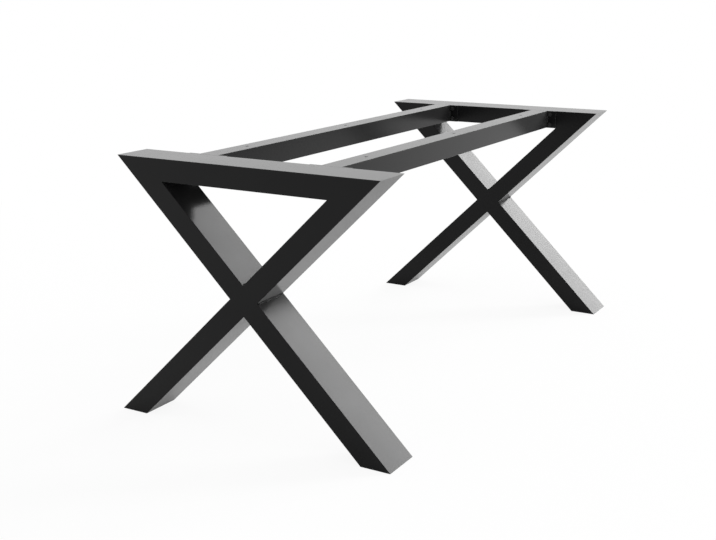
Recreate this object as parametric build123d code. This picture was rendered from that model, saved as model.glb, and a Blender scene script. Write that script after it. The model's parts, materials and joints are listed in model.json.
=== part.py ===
from build123d import *
import os
from math import asin, atan2, cos, hypot, sin, tan

# Steel frame for a table top: two welded X-shaped end frames and two bolted rails between them.
# X runs along the table, Y across it, and Z up from the floor under the middle of the frame.
# All sizes are in millimetres.

# Overall sizes
frame_length = 1670.0  # over the outer faces of the two end frames
frame_height = 730.0  # from the floor to the faces that carry the table top
top_width = 806.0  # between the pointed ends of a top bar
foot_width = 868.0  # over the two feet of an end frame

# Rectangular tube of the end frames
tube_depth = 120.0  # along X
tube_face = 60.0  # across the tube, seen from the end of the table
tube_wall = 2.0
tube_corner = 1.0  # outside radius of the long edges

# Square tube of the rails
rail_side = 60.0
rail_wall = 2.0
rail_corner = 1.0
rail_inset = 210.5  # from the centre line of a rail to the pointed ends of the top bars

# Holes in each rail for the screws of the table top
top_hole_diameter = 10.0
access_hole_diameter = 20.0  # below each top hole, for the screw's head and the driver
top_hole_pitch = 536.0  # from the middle hole to the outer ones

# Foot plates that close the leg ends
foot_plate_thickness = 3.0
foot_plate_gap = 0.2  # all round, inside the tube

# Weld beads left in the inside corners
weld_leg = 3.0  # along each face
weld_end = 6.0  # from the end of a bead to the outer faces, which are ground clean

# Flanges on the ends of the rails, flush with the top
flange_thickness = 5.0
flange_width = 125.0

# Bolts through the flanges
bolt_diameter = 8.0
bolt_length = 16.0
bolt_offset = 12.0  # from a bolt to the side of its rail
bolt_edge = 12.0  # from a bolt to the upper or lower edge of its flange
bolt_clearance = 0.5  # round the shank, in the flange and the wall of the top bar
thread_clearance = 0.1  # round the shank, in the tapped backing plate
head_width = 13.0  # across the flats
head_height = 5.3

# Tapped plates inside the top bars
backing_thickness = 6.0
backing_margin = 3.0  # from the plate to the top and bottom walls of the bar

# Places that follow from those sizes, for the left end frame
half_span = (top_width + foot_width) / 2
leg_angle = atan2(frame_height, half_span) + asin(tube_face / hypot(half_span, frame_height))
leg_footprint = tube_face / sin(leg_angle)
crossing_height = (foot_width - leg_footprint) / 2 * tan(leg_angle)
end_x = (tube_depth - frame_length) / 2
inner_x = tube_depth - frame_length / 2
bar_height = frame_height - tube_face / 2
rail_height = frame_height - rail_side / 2
rail_length = frame_length - 2 * (tube_depth + flange_thickness)
rail_ys = {"front": rail_inset - top_width / 2, "back": top_width / 2 - rail_inset}
blank_length = 2 * hypot(foot_width, frame_height)

# Places round a rail joint
flange_height = min(tube_face, rail_side)
joint_height = frame_height - flange_height / 2
bolt_across = rail_side / 2 + bolt_offset
bolt_up = flange_height / 2 - bolt_edge
bolt_places = [(across, up) for across in (bolt_across, -bolt_across) for up in (bolt_up, -bolt_up)]

# Directions of the two crossing legs, upwards, and the point where their centre lines cross
through_axis = Vector(0, cos(leg_angle), sin(leg_angle))
half_axis = Vector(0, -cos(leg_angle), sin(leg_angle))
crossing = Vector(end_x, 0, crossing_height)
through_plane = Plane(origin=crossing, x_dir=(1, 0, 0), z_dir=through_axis)
half_plane = Plane(origin=crossing, x_dir=(1, 0, 0), z_dir=half_axis)

# Solids that stand on their working plane, or hang from it
standing = (Align.CENTER, Align.CENTER, Align.MIN)
hanging = (Align.CENTER, Align.CENTER, Align.MAX)


def rounded_bar(plane, width, height, corner, length):
    """A solid bar with rounded long edges, centred on the plane and running along its normal."""
    return extrude(plane * RectangleRounded(width, height, corner), length / 2, both=True)


def tube_cavity(plane, length, gap=0.0):
    """The inside of an end frame's tube, or what fits in it with a gap all round."""
    inset = 2 * (tube_wall + gap)
    return plane * Box(tube_depth - inset, tube_face - inset, length)


def tube(plane, length):
    """A straight length of the end frames' tube."""
    return rounded_bar(plane, tube_depth, tube_face, tube_corner, length) - tube_cavity(plane, length)


def mitre_plane(side):
    """The cut between the top bar and the leg on one side (1 or -1 along Y), facing the leg."""
    tip = (end_x, side * top_width / 2, frame_height)
    return Plane(origin=tip, z_dir=(0, side * sin(leg_angle / 2), -cos(leg_angle / 2)))


def through_leg_face(side):
    """The upper (1) or lower (-1) side face of the through leg, facing away from it."""
    outward = Vector(0, -sin(leg_angle), cos(leg_angle)) * side
    return Plane(origin=crossing + outward * (tube_face / 2), z_dir=outward)


def weld_bead(corner, first, second, along, length):
    """A bead in an inside corner, between the faces that leave it along first and second."""
    outline = Polyline(corner, corner + first * weld_leg, corner + second * weld_leg, close=True)
    return extrude(make_face(outline), length / 2, dir=along, both=True)


def tube_bead(corner, first, second):
    """A bead across the depth of an end frame, short of its outer faces."""
    return weld_bead(corner, first, second, (1, 0, 0), tube_depth - 2 * weld_end)


def joint_place(rail_y):
    """Where a rail meets the left end frame: on the inner face of the top bar, X away from it."""
    return Pos(inner_x, rail_y, joint_height)


def make_top_bar():
    """The bar on top of the end frame, with mitred ends and an upright slot for each pair of bolts."""
    plane = Plane(origin=(end_x, 0, bar_height), x_dir=(1, 0, 0), z_dir=(0, 1, 0))
    bar = tube(plane, top_width + 2 * tube_face)
    for side in (1, -1):
        bar = split(bar, bisect_by=mitre_plane(side), keep=Keep.BOTTOM)
        corner_y = side * (top_width / 2 - tube_face / tan(leg_angle / 2))
        corner = Vector(end_x, corner_y, frame_height - tube_face)
        down_leg = (through_axis if side > 0 else half_axis) * -1
        bar += tube_bead(corner, Vector(0, -side, 0), down_leg)
    slot_width = bolt_diameter + 2 * bolt_clearance
    slot = Box(4 * tube_wall, slot_width, 2 * bolt_up + slot_width)
    for rail_y in rail_ys.values():
        for across in (bolt_across, -bolt_across):
            bar -= joint_place(rail_y) * Pos(0, across, 0) * slot
    return bar


def make_through_leg():
    """The leg in one length. Where the half legs meet it, the welds are ground flush with its faces."""
    leg = rounded_bar(through_plane, tube_depth, tube_face, tube_corner, blank_length)
    flush = through_plane * Box(tube_depth, tube_face, blank_length)
    flush &= half_plane * Box(2 * tube_depth, tube_face - 2 * tube_corner, blank_length)
    leg = leg + flush - tube_cavity(through_plane, blank_length)
    leg = split(leg, bisect_by=mitre_plane(1), keep=Keep.TOP)
    leg = split(leg, bisect_by=Plane.XY, keep=Keep.TOP)
    to_corner = tube_face / 2 / sin(2 * leg_angle)
    for along_through in (through_axis, through_axis * -1):
        for along_half in (half_axis, half_axis * -1):
            corner = crossing + (along_through + along_half) * to_corner
            leg += tube_bead(corner, along_through, along_half)
    return leg


def make_upper_half_leg():
    """From the second top corner down to the through leg."""
    leg = tube(half_plane, blank_length)
    leg = split(leg, bisect_by=mitre_plane(-1), keep=Keep.TOP)
    return split(leg, bisect_by=through_leg_face(1), keep=Keep.TOP)


def make_lower_half_leg():
    """From the through leg down to the floor."""
    leg = tube(half_plane, blank_length)
    leg = split(leg, bisect_by=through_leg_face(-1), keep=Keep.TOP)
    return split(leg, bisect_by=Plane.XY, keep=Keep.TOP)


def make_foot_plate(plane):
    """A plate inside the end of a leg, flush with its cut at the floor."""
    slab = Box(2 * frame_length, 2 * foot_width, foot_plate_thickness, align=standing)
    return tube_cavity(plane, blank_length, foot_plate_gap) & slab


def make_rail():
    """A rail along X at Y = 0, with its screw holes."""
    plane = Plane(origin=(0, 0, rail_height), x_dir=(0, 1, 0), z_dir=(1, 0, 0))
    inside = rail_side - 2 * rail_wall
    rail = rounded_bar(plane, rail_side, rail_side, rail_corner, rail_length)
    rail -= plane * Box(inside, inside, rail_length)
    top_hole = Cylinder(top_hole_diameter / 2, 4 * rail_wall)
    access_hole = Cylinder(access_hole_diameter / 2, 4 * rail_wall)
    for x in (-top_hole_pitch, 0, top_hole_pitch):
        rail -= Pos(x, 0, frame_height) * top_hole
        rail -= Pos(x, 0, frame_height - rail_side) * access_hole
    return rail


def make_flange():
    """A plate with four bolt holes on the end of a rail, and its beads along the rail's sides."""
    outline = Rectangle(flange_width, flange_height)
    for across, up in bolt_places:
        outline -= Pos(across, up) * Circle(bolt_diameter / 2 + bolt_clearance)
    flange = extrude(Plane.YZ * outline, flange_thickness)
    for side in (1, -1):
        corner = Vector(flange_thickness, side * rail_side / 2, 0)
        bead_length = flange_height - 2 * weld_end
        flange += weld_bead(corner, Vector(1, 0, 0), Vector(0, side, 0), (0, 0, 1), bead_length)
    return flange


def make_backing_plate():
    """A tapped plate against the inside of the top bar's inner wall, behind one flange."""
    height = flange_height - 2 * (tube_wall + backing_margin)
    outline = Rectangle(flange_width, height)
    for across, up in bolt_places:
        outline -= Pos(across, up) * Circle(bolt_diameter / 2)
    return Pos(-tube_wall, 0, 0) * extrude(Plane.YZ * outline, -backing_thickness)


def make_bolt():
    """A hexagon-head bolt along X, with the underside of its head on the face of a flange."""
    head = extrude(RegularPolygon(head_width / 2, 6, major_radius=False), head_height)
    shank = Cylinder(bolt_diameter / 2 - thread_clearance, bolt_length, align=hanging)
    return Pos(flange_thickness, 0, 0) * Rot(0, 90, 0) * (head + shank)


def turned(shape):
    """The same piece at the right end, half a turn about the vertical axis."""
    return Rot(0, 0, 180) * shape


nodes = {}

# The two end frames, with their foot plates
end_frame = {
    "top_bar": make_top_bar(),
    "through_leg": make_through_leg(),
    "upper_half_leg": make_upper_half_leg(),
    "lower_half_leg": make_lower_half_leg(),
    "through_leg_foot_plate": make_foot_plate(through_plane),
    "half_leg_foot_plate": make_foot_plate(half_plane),
}
for name, shape in end_frame.items():
    nodes["left_" + name] = shape
    nodes["right_" + name] = turned(shape)

# The rails, with their flanges and the plates that the flanges are bolted to
rail = make_rail()
flange = make_flange()
backing_plate = make_backing_plate()
for rail_name, opposite in (("front", "back"), ("back", "front")):
    rail_y = rail_ys[rail_name]
    nodes[rail_name + "_rail"] = Pos(0, rail_y, 0) * rail
    placed_flange = joint_place(rail_y) * flange
    nodes[rail_name + "_rail_left_flange"] = placed_flange
    nodes[opposite + "_rail_right_flange"] = turned(placed_flange)
    placed_plate = joint_place(rail_y) * backing_plate
    nodes["left_" + rail_name + "_backing_plate"] = placed_plate
    nodes["right_" + opposite + "_backing_plate"] = turned(placed_plate)

# The bolts, one group at each end
bolt = make_bolt()
bolts = [
    joint_place(rail_y) * Pos(0, across, up) * bolt
    for rail_y in rail_ys.values()
    for across, up in bolt_places
]
nodes["left_rail_bolts"] = Compound(children=bolts)
nodes["right_rail_bolts"] = Compound(children=[turned(copy) for copy in bolts])

os.makedirs("parts", exist_ok=True)
for name, shape in nodes.items():
    shape.label = name
    export_step(shape, "parts/" + name + ".step")
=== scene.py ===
import json
import random
from math import asin, atan2, ceil, cos, hypot, pi, radians, sin, sqrt, tan

import bmesh
import bpy
from mathutils import Matrix, Quaternion, Vector


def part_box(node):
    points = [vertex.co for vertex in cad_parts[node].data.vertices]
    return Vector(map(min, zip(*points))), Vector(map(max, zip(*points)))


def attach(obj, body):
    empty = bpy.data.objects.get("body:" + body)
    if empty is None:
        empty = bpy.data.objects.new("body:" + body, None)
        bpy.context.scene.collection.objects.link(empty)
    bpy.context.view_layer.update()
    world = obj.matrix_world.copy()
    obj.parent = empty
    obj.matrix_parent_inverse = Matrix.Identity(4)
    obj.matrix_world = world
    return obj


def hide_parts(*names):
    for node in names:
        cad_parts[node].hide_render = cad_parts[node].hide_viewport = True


# Looks of the black steel table frame, in metres, around the CAD nodes.

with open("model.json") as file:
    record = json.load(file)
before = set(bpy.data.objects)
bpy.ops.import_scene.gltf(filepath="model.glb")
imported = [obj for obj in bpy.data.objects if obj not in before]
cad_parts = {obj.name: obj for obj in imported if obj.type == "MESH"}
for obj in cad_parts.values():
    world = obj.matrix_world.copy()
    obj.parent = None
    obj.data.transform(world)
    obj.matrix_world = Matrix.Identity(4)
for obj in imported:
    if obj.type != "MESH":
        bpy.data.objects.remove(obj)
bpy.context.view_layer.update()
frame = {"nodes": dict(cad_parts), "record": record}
nodes = frame["nodes"]

# Sizes that the boxes of the CAD nodes don't give
TUBE_FACE = 0.060
HEAD_WIDTH = 0.013
HEAD_HEIGHT = 0.0053
SHANK_RADIUS = 0.0039

# Finer forms of the bolts. Shares are of half the width of a head.
BOLT_FACETS = 60  # round the axis, a multiple of six
HEAD_MIDDLE = 0.05  # share, radius of the small face that closes a head
HEAD_FLAT = 0.97  # share, radius of the flat on a head
HEAD_CHAMFER = radians(30)
WASHER_FACE = 0.98  # share, radius of the step under a head
WASHER_STEP = 0.0004
THREAD_PITCH = 0.00125
THREAD_DEPTH = 0.0006
THREAD_STEPS = 8  # rings to a turn

# Weld beads, laid over the plain ones of the CAD nodes
BEAD_LEG = 0.0042
BEAD_FACETS = 8  # across a bead
BEAD_WANDER = 0.22  # share by which a bead swells and narrows
WANDER_PITCH = 0.038
BEAD_END = 0.005  # from the end of a bead to the outer faces
END_SHARE = 0.75  # share of its width that a bead has at its ends
BEAD_CROWN = 0.0004
BEAD_RIPPLE = 0.0003
RIPPLE_PITCH = 0.0032
RIPPLE_STEPS = 8  # rings to a ripple
RIPPLE_BOW = 0.35  # share of the pitch by which the ripples are bowed
PITCH_RANGE = (0.85, 1.15)  # shares of the pitch, from ripple to ripple
WIDTH_RANGE = (0.96, 1.04)  # shares of the width, from ripple to ripple

# Camera: the photo's, with its focal length in pixels of a 716 x 540 picture
PHOTO_WIDTH = 716
FOCAL_PIXELS = 1087.0
CAMERA_AZIMUTH = -59.654
CAMERA_ELEVATION = 14.762
CAMERA_ROLL = -0.063
CAMERA_DISTANCE = 3.598
CAMERA_AIM = Vector((0, 0.14646, 0.25441))

# Floor and background
FLOOR_SIZE = 30.0
FLOOR_DROP = 0.0003  # keeps the floor just clear of the soles of the feet
FLOOR_GREY = 0.8
EYE_FLOOR = (0.12, 0.90)  # shading and glow that make up the floor's white for the camera
MIRROR_FLOOR = (1.0, 0.2)  # the same for reflections, where the shadow at the feet is deeper
SHADOW_REACH = (1.6, 3.2)  # radii between which that shading fades into white
AMBIENT = 0.6

# Strip softboxes: azimuth and elevation of the middle, roll, length, breadth and radiance
SOFTBOXES = {
    "near_leg_low": (62.2, 27.1, 46, 6.6, 4.2, 12.0),
    "near_leg_high": (74.0, 37.9, 46, 4.0, 4.2, 8.7),
    "far_leg": (76.8, 19.2, 45, 6.5, 3.2, 8.8),
}
LIGHT_AIM = Vector((0, 0, 0.4))
LIGHT_DISTANCE = 20.0


# Materials

NOISE_RANGE = (0.3, 0.7)  # nearly all values of a noise lie between these


def add_node(tree, kind, **values):
    """A node of a material or world, with values for its sockets and settings."""
    node = tree.nodes.new(kind)
    for key, value in values.items():
        if key in node.inputs:
            node.inputs[key].default_value = value
        else:
            setattr(node, key, value)
    return node


def new_material(name):
    """A node material, with its node tree and its principled shader."""
    material = bpy.data.materials.new(name)
    material.use_nodes = True
    tree = material.node_tree
    return material, tree, tree.nodes["Principled BSDF"]


def noise(tree, scale, detail=2.0, stretch=(1, 1, 1)):
    """Noise in the object's own metres, about 1/scale across, drawn out along an axis by stretch."""
    place = add_node(tree, "ShaderNodeTexCoord")
    mapping = add_node(tree, "ShaderNodeMapping", Scale=stretch)
    texture = add_node(tree, "ShaderNodeTexNoise", Scale=scale, Detail=detail)
    tree.links.new(place.outputs["Object"], mapping.inputs["Vector"])
    tree.links.new(mapping.outputs["Vector"], texture.inputs["Vector"])
    return texture.outputs["Fac"]


def spread(tree, value, low, high):
    """A noise value spread over a range of numbers."""
    node = add_node(tree, "ShaderNodeMapRange")
    node.inputs["From Min"].default_value, node.inputs["From Max"].default_value = NOISE_RANGE
    node.inputs["To Min"].default_value = low
    node.inputs["To Max"].default_value = high
    tree.links.new(value, node.inputs["Value"])
    return node.outputs["Result"]


def tint(tree, value, dark, light):
    """A noise value as a colour between two greys."""
    node = add_node(tree, "ShaderNodeValToRGB")
    for element, position, colour in zip(node.color_ramp.elements, NOISE_RANGE, (dark, light)):
        element.position = position
        element.color = (*colour, 1)
    tree.links.new(value, node.inputs["Fac"])
    return node.outputs["Color"]


def bump(tree, value, strength, height, below=None):
    """A bump from a noise value, over another bump where one is given."""
    node = add_node(tree, "ShaderNodeBump", Strength=strength, Distance=height)
    tree.links.new(value, node.inputs["Height"])
    if below is not None:
        tree.links.new(below, node.inputs["Normal"])
    return node.outputs["Normal"]


def powder_coat():
    """Black powder coat: satin, with a slight orange peel, a fine grain and a grazing sheen."""
    material, tree, shader = new_material("powder_coat")
    peel = noise(tree, scale=220)
    grain = noise(tree, scale=1400, detail=1)
    cloud = noise(tree, scale=9)
    colour = tint(tree, cloud, dark=(0.0054, 0.0054, 0.0056), light=(0.0066, 0.0066, 0.0068))
    wavy = bump(tree, peel, strength=0.2, height=0.000014)
    grainy = bump(tree, grain, strength=0.15, height=0.000018, below=wavy)
    tree.links.new(colour, shader.inputs["Base Color"])
    tree.links.new(spread(tree, cloud, low=0.21, high=0.235), shader.inputs["Roughness"])
    tree.links.new(grainy, shader.inputs["Normal"])
    shader.inputs["IOR"].default_value = 1.25
    shader.inputs["Sheen Weight"].default_value = 0.5
    shader.inputs["Sheen Roughness"].default_value = 0.3
    return material


def black_oxide():
    """Blackened steel of the bolts, with lighter rubbed places."""
    material, tree, shader = new_material("fastener_black")
    rub = noise(tree, scale=260, detail=4)
    grain = noise(tree, scale=2600)
    colour = tint(tree, rub, dark=(0.03, 0.03, 0.032), light=(0.075, 0.074, 0.073))
    tree.links.new(colour, shader.inputs["Base Color"])
    tree.links.new(spread(tree, rub, low=0.42, high=0.3), shader.inputs["Roughness"])
    tree.links.new(bump(tree, grain, strength=0.2, height=0.00005), shader.inputs["Normal"])
    shader.inputs["Metallic"].default_value = 0.9
    return material


def mill_steel():
    """Plain rolled steel, drawn out along the plate, with a bluish mill skin in places."""
    material, tree, shader = new_material("plain_steel")
    rolled = noise(tree, scale=300, detail=3, stretch=(1, 0.08, 1))
    skin = noise(tree, scale=40, detail=4)
    colour = tint(tree, skin, dark=(0.33, 0.34, 0.36), light=(0.48, 0.48, 0.48))
    tree.links.new(colour, shader.inputs["Base Color"])
    tree.links.new(spread(tree, rolled, low=0.35, high=0.5), shader.inputs["Roughness"])
    tree.links.new(bump(tree, rolled, strength=0.2, height=0.0001), shader.inputs["Normal"])
    shader.inputs["Metallic"].default_value = 1.0
    return material


materials = {
    "powder_coat": powder_coat(),
    "fastener_black": black_oxide(),
    "plain_steel": mill_steel(),
}


def finish_piece(obj, slot):
    """Gives a piece the material of one of the record's slots."""
    obj.data.materials.clear()
    obj.data.materials.append(materials[slot])


for subpart in frame["record"]["subparts"]:
    finish_piece(nodes[subpart["node"]], subpart["material_slot"])


# Pieces made here

def new_piece(name, mesh, slot):
    """A mesh as a piece of the object, riding on its one body."""
    mesh.normal_update()
    data = bpy.data.meshes.new(name)
    mesh.to_mesh(data)
    mesh.free()
    obj = bpy.data.objects.new(name, data)
    bpy.context.scene.collection.objects.link(obj)
    finish_piece(obj, slot)
    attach(obj, "root")
    return obj


def skin_rings(mesh, rings):
    """A closed skin over rings of as many vertices each, one after the other."""
    count = len(rings[0])
    for first, second in zip(rings, rings[1:]):
        for i in range(count):
            j = (i + 1) % count
            mesh.faces.new((first[i], first[j], second[j], second[i]))
    mesh.faces.new(reversed(rings[0]))
    mesh.faces.new(rings[-1])


bolts_low, bolts_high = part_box("left_rail_bolts")
BOLT_LENGTH = bolts_high.x - bolts_low.x - HEAD_HEIGHT


def add_bolt(mesh, place):
    """A hexagon-head bolt along +Z: chamfered head on Z = 0 and a threaded shank below it."""
    apothem = HEAD_WIDTH / 2
    angles = [2 * pi * i / BOLT_FACETS for i in range(BOLT_FACETS)]
    hexagon = [apothem / cos((angle + pi / 6) % (pi / 3) - pi / 6) for angle in angles]

    def ring(radii, heights):
        return [
            mesh.verts.new(place @ Vector((radius * cos(angle), radius * sin(angle), height)))
            for radius, angle, height in zip(radii, angles, heights)
        ]

    def round_ring(radius, height):
        return ring([radius] * BOLT_FACETS, [height] * BOLT_FACETS)

    def chamfered(radius):
        return HEAD_HEIGHT - max(0, radius - apothem * HEAD_FLAT) * tan(HEAD_CHAMFER)

    rings = [
        round_ring(apothem * HEAD_MIDDLE, HEAD_HEIGHT),
        round_ring(apothem * HEAD_FLAT, HEAD_HEIGHT),
        ring(hexagon, [chamfered(radius) for radius in hexagon]),
        ring(hexagon, [WASHER_STEP] * BOLT_FACETS),
        round_ring(apothem * WASHER_FACE, WASHER_STEP),
        round_ring(apothem * WASHER_FACE, 0),
        round_ring(SHANK_RADIUS, 0),
    ]
    thread_end = BOLT_LENGTH - THREAD_DEPTH
    steps = THREAD_STEPS * ceil(thread_end / THREAD_PITCH)
    for step in range(1, steps + 1):
        depth = thread_end * step / steps
        phases = [(depth / THREAD_PITCH + angle / (2 * pi)) % 1 for angle in angles]
        radii = [SHANK_RADIUS - THREAD_DEPTH * (1 - abs(2 * phase - 1)) for phase in phases]
        rings.append(ring(radii, [-depth] * BOLT_FACETS))
    rings.append(round_ring(SHANK_RADIUS - 2 * THREAD_DEPTH, -BOLT_LENGTH))
    skin_rings(mesh, rings)


def bolt_axes(node, middle_side):
    """The middles of the bolt heads of a CAD group, on the plane of their free ends."""
    same_plane = 1e-5
    same_head = HEAD_WIDTH * 1.2  # just more than a head across its corners
    points = [vertex.co for vertex in nodes[node].data.vertices]
    end = max(point.x * middle_side for point in points)
    heads = []
    for point in points:
        if point.x * middle_side > end - same_plane:
            near = [head for head in heads if (head[0] - point).length < same_head]
            if near:
                near[0].append(point)
            else:
                heads.append([point])
    return [Vector([(min(values) + max(values)) / 2 for values in zip(*head)]) for head in heads]


for side, middle_side in (("left", 1), ("right", -1)):
    group = bmesh.new()
    for axis in bolt_axes(side + "_rail_bolts", middle_side):
        seat = axis - Vector((middle_side * HEAD_HEIGHT, 0, 0))
        add_bolt(group, Matrix.Translation(seat) @ Matrix.Rotation(middle_side * pi / 2, 4, "Y"))
    piece = new_piece(side + "_bolts_detailed", group, "fastener_black")
    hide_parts(side + "_rail_bolts")


def add_bead(mesh, start, end, first, second, seed):
    """A rippled weld bead from start to end, in the corner between faces along first and second."""
    chance = random.Random(seed)
    along = (end - start).normalized()
    length = (end - start).length
    outward = (first + second).normalized()
    count = ceil(length / (RIPPLE_PITCH / RIPPLE_STEPS))
    phase = 0.0
    pitch = RIPPLE_PITCH
    starts = [chance.uniform(0, 2 * pi) for _ in range(2)]
    uneven = (1.0, 1.0)
    rings = []
    for i in range(count + 1):
        run = length * i / count
        phase += length / count / pitch
        if phase >= 1:
            phase -= 1
            pitch = RIPPLE_PITCH * chance.uniform(*PITCH_RANGE)
            uneven = tuple(chance.uniform(*WIDTH_RANGE) for _ in range(2))
        at_end = min(1, min(run, length - run) / BEAD_LEG)
        taper = END_SHARE + (1 - END_SHARE) * sqrt(1 - (1 - at_end) ** 2)
        swells = [1 + BEAD_WANDER * sin(2 * pi * run / WANDER_PITCH + turn) for turn in starts]
        legs = [BEAD_LEG * swell * share for swell, share in zip(swells, uneven)]
        corner = start + along * run
        points = [corner]
        for j in range(BEAD_FACETS + 1):
            across = j / BEAD_FACETS
            curve = 4 * across * (1 - across)
            wave = (phase + RIPPLE_BOW * curve) % 1
            rise = BEAD_CROWN + BEAD_RIPPLE * (1 - (2 * wave - 1) ** 2)
            foot = first * (legs[0] * (1 - across)) + second * (legs[1] * across)
            points.append(corner + foot * taper + outward * (rise * curve * taper))
        rings.append([mesh.verts.new(point) for point in points])
    skin_rings(mesh, rings)


def end_frame_beads(side):
    """The beads of an end frame: two ends and the directions of the two faces that each bead joins."""
    bar_low, bar_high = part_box(side + "_top_bar")
    leg_low, leg_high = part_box(side + "_through_leg")
    turn = 1 if side == "left" else -1
    middle = (bar_low.x + bar_high.x) / 2
    top, half_top, half_foot = bar_high.z, bar_high.y, max(-leg_low.y, leg_high.y)
    span = half_top + half_foot
    angle = atan2(top, span) + asin(TUBE_FACE / hypot(span, top))
    crossing = Vector((middle, 0, (half_foot - TUBE_FACE / sin(angle) / 2) * tan(angle)))
    through = Vector((0, turn * cos(angle), sin(angle)))
    half = Vector((0, -turn * cos(angle), sin(angle)))
    corners = []
    for first in (through, -through):
        for second in (half, -half):
            apart = (first + second) * (TUBE_FACE / 2 / sin(2 * angle))
            corners.append((crossing + apart, first, second))
    for y_side in (1, -1):
        y = y_side * (half_top - TUBE_FACE / tan(angle / 2))
        down_leg = Vector((0, y_side * -cos(angle), -sin(angle)))
        corners.append((Vector((middle, y, top - TUBE_FACE)), Vector((0, -y_side, 0)), down_leg))
    half_run = Vector(((bar_high.x - bar_low.x) / 2 - BEAD_END, 0, 0))
    return [(point - half_run, point + half_run, first, second) for point, first, second in corners]


def flange_beads(rail, side):
    """The beads between a rail's sides and its flange, given in the same way."""
    rail_low, rail_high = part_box(rail)
    toward = 1 if side == "left" else -1
    x = rail_low.x if side == "left" else rail_high.x
    beads = []
    for y, outward in ((rail_low.y, -1), (rail_high.y, 1)):
        low = Vector((x, y, rail_low.z + BEAD_END))
        high = Vector((x, y, rail_high.z - BEAD_END))
        beads.append((low, high, Vector((toward, 0, 0)), Vector((0, outward, 0))))
    return beads


seed = 0
for side in ("left", "right"):
    groups = {side + "_end_frame_welds": end_frame_beads(side)}
    for rail in ("front_rail", "back_rail"):
        groups[rail + "_" + side + "_welds"] = flange_beads(rail, side)
    for name, beads in groups.items():
        group = bmesh.new()
        for bead in beads:
            seed += 1
            add_bead(group, *bead, seed)
        bmesh.ops.recalc_face_normals(group, faces=group.faces)
        piece = new_piece(name, group, "powder_coat")
        for polygon in piece.data.polygons:
            polygon.use_smooth = True


# Camera

def direction(azimuth, elevation):
    """From the object towards an azimuth and elevation in degrees: azimuth 0 is -Y, and 90 is +X."""
    around, up = radians(azimuth), radians(elevation)
    return Vector((sin(around) * cos(up), -cos(around) * cos(up), sin(up)))


scene = bpy.context.scene
camera = bpy.data.objects.new("camera", bpy.data.cameras.new("camera"))
scene.collection.objects.link(camera)
scene.camera = camera
camera.data.sensor_width = 36.0
camera.data.lens = camera.data.sensor_width * FOCAL_PIXELS / PHOTO_WIDTH
back = direction(CAMERA_AZIMUTH, CAMERA_ELEVATION)
right = Vector((0, 0, 1)).cross(back).normalized()
level = Matrix((right, back.cross(right), back)).transposed()
pose = level @ Matrix.Rotation(radians(CAMERA_ROLL), 3, "Z")
camera.matrix_world = Matrix.Translation(CAMERA_AIM + back * CAMERA_DISTANCE) @ pose.to_4x4()


# Floor, background and light

def grey(value):
    """A grey as a colour."""
    return (value, value, value, 1)


def mixed(tree, share, first, second):
    """A shader between two others, by a share that a socket gives."""
    mix = add_node(tree, "ShaderNodeMixShader")
    tree.links.new(share, mix.inputs["Fac"])
    tree.links.new(first.outputs[0], mix.inputs[1])
    tree.links.new(second.outputs[0], mix.inputs[2])
    return mix


def white_to_eye(tree, unseen, seen):
    """One shader for the camera, mirrors and glass, and another for all other light."""
    path = add_node(tree, "ShaderNodeLightPath")
    either = path.outputs["Is Camera Ray"]
    for kind in ("Is Glossy Ray", "Is Transmission Ray"):
        larger = add_node(tree, "ShaderNodeMath", operation="MAXIMUM")
        tree.links.new(either, larger.inputs[0])
        tree.links.new(path.outputs[kind], larger.inputs[1])
        either = larger.outputs["Value"]
    return mixed(tree, either, unseen, seen)


def shaded_white(tree, shade, glow):
    """A white that is partly lit by the lamps, so that it shows a shadow, and partly by itself."""
    lit = add_node(tree, "ShaderNodeBsdfDiffuse", Color=grey(shade))
    even = add_node(tree, "ShaderNodeEmission", Strength=glow)
    both = add_node(tree, "ShaderNodeAddShader")
    tree.links.new(lit.outputs[0], both.inputs[0])
    tree.links.new(even.outputs[0], both.inputs[1])
    return both


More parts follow.
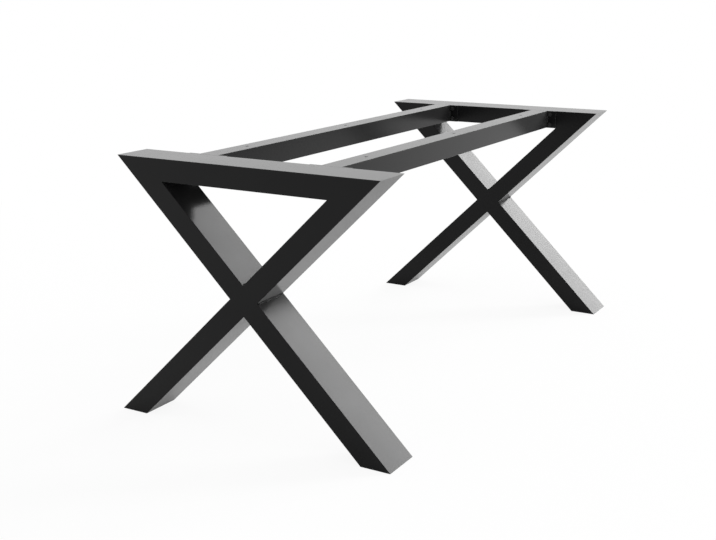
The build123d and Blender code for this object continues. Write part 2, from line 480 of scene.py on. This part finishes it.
def floor_look():
    """White to the eye, with a shadow near the object, and open to a look from below."""
    material, tree, principled = new_material("floor")
    tree.nodes.remove(principled)
    path = add_node(tree, "ShaderNodeLightPath")
    mirrored = shaded_white(tree, *MIRROR_FLOOR)
    direct = shaded_white(tree, *EYE_FLOOR)
    near = mixed(tree, path.outputs["Is Camera Ray"], mirrored, direct)
    far = add_node(tree, "ShaderNodeEmission", Strength=1.0)
    place = add_node(tree, "ShaderNodeTexCoord")
    radius = add_node(tree, "ShaderNodeVectorMath", operation="LENGTH")
    fade = add_node(tree, "ShaderNodeMapRange", interpolation_type="SMOOTHSTEP")
    fade.inputs["From Min"].default_value, fade.inputs["From Max"].default_value = SHADOW_REACH
    tree.links.new(place.outputs["Object"], radius.inputs[0])
    tree.links.new(radius.outputs["Value"], fade.inputs["Value"])
    seen = mixed(tree, fade.outputs["Result"], near, far)
    plain = add_node(tree, "ShaderNodeBsdfDiffuse", Color=grey(FLOOR_GREY))
    opaque = white_to_eye(tree, plain, seen)
    clear = add_node(tree, "ShaderNodeBsdfTransparent")
    geometry = add_node(tree, "ShaderNodeNewGeometry")
    one_sided = mixed(tree, geometry.outputs["Backfacing"], opaque, clear)
    tree.links.new(one_sided.outputs[0], tree.nodes["Material Output"].inputs["Surface"])
    return material


def studio_world():
    """A white background to the eye, and soft light all round."""
    world = bpy.data.worlds.new("studio")
    world.use_nodes = True
    tree = world.node_tree
    ambient = tree.nodes["Background"]
    ambient.inputs["Color"].default_value = grey(1)
    ambient.inputs["Strength"].default_value = AMBIENT
    paper = add_node(tree, "ShaderNodeBackground", Color=grey(1), Strength=1.0)
    background = white_to_eye(tree, ambient, paper)
    tree.links.new(background.outputs[0], tree.nodes["World Output"].inputs["Surface"])
    return world


floor_mesh = bmesh.new()
bmesh.ops.create_grid(floor_mesh, x_segments=1, y_segments=1, size=FLOOR_SIZE / 2)
floor_data = bpy.data.meshes.new("floor")
floor_mesh.to_mesh(floor_data)
floor_mesh.free()
floor = bpy.data.objects.new("floor", floor_data)
scene.collection.objects.link(floor)
floor.location.z = -FLOOR_DROP
floor.data.materials.append(floor_look())
scene.world = studio_world()

for name, (azimuth, elevation, roll, length, breadth, radiance) in SOFTBOXES.items():
    data = bpy.data.lights.new(name, "AREA")
    data.shape = "RECTANGLE"
    data.size = length
    data.size_y = breadth
    data.energy = radiance * pi * length * breadth
    light = bpy.data.objects.new(name, data)
    scene.collection.objects.link(light)
    toward = direction(azimuth, elevation)
    turned = Quaternion((0, 0, 1), radians(roll))
    light.location = LIGHT_AIM + toward * LIGHT_DISTANCE
    light.rotation_mode = "QUATERNION"
    light.rotation_quaternion = toward.to_track_quat("Z", "Y") @ turned
    light.visible_camera = False

scene.view_settings.view_transform = "Standard"
